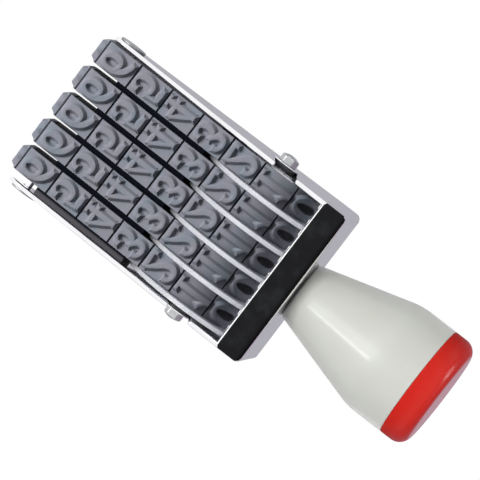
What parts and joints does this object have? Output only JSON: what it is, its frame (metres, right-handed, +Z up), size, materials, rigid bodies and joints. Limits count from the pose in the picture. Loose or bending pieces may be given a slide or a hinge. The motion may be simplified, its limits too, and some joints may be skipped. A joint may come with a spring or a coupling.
{
  "type": "roller number stamp",
  "caption": "Upright hand stamp: a folded metal frame carries rubber number bands on thumb wheels over an anvil block, under a bell-shaped handle.",
  "frame": {"origin": "middle of the printing face, at the bottom of the upright stamp", "axes": "+Z up the handle, +X across the bands along the axle, -Y out of the front where the numbers are read"},
  "size_m": [0.0576, 0.0376, 0.1373],
  "materials": {
    "plated_sheet": "bright nickel plate",
    "block": "black moulded plastic",
    "steel": "plated steel",
    "bush": "black moulded plastic",
    "band_rubber": "matt grey rubber",
    "wheel": "pale moulded plastic",
    "handle": "pale grey satin plastic",
    "cap": "red gloss plastic"
  },
  "bodies": {
    "stamp": {"frame": "plated_sheet", "anvil_block": "block", "anvil_pin": "steel", "tip_rivets": "steel", "number_band_1": "band_rubber", "number_band_2": "band_rubber", "number_band_3": "band_rubber", "number_band_4": "band_rubber", "number_band_5": "band_rubber", "axle": "steel", "axle_bushes": "bush", "axle_washers": "steel", "axle_nuts": "steel", "handle_screw": "steel", "handle_washer": "steel", "handle": "handle", "handle_cap": "cap"},
    "wheel_1": {"band_wheel_1": "wheel"},
    "wheel_2": {"band_wheel_2": "wheel"},
    "wheel_3": {"band_wheel_3": "wheel"},
    "wheel_4": {"band_wheel_4": "wheel"},
    "wheel_5": {"band_wheel_5": "wheel"}
  },
  "joints": [
    {"name": "wheel_1_turn", "type": "hinge", "parent": "stamp", "child": "wheel_1", "pos_m": [-0.01978, 0, 0.0626], "axis": [1, 0, 0], "continuous": true},
    {"name": "wheel_2_turn", "type": "hinge", "parent": "stamp", "child": "wheel_2", "pos_m": [-0.01038, 0, 0.0626], "axis": [1, 0, 0], "continuous": true},
    {"name": "wheel_3_turn", "type": "hinge", "parent": "stamp", "child": "wheel_3", "pos_m": [-0.00097, 0, 0.0626], "axis": [1, 0, 0], "continuous": true},
    {"name": "wheel_4_turn", "type": "hinge", "parent": "stamp", "child": "wheel_4", "pos_m": [0.00843, 0, 0.0626], "axis": [1, 0, 0], "continuous": true},
    {"name": "wheel_5_turn", "type": "hinge", "parent": "stamp", "child": "wheel_5", "pos_m": [0.01783, 0, 0.0626], "axis": [1, 0, 0], "continuous": true}
  ]
}
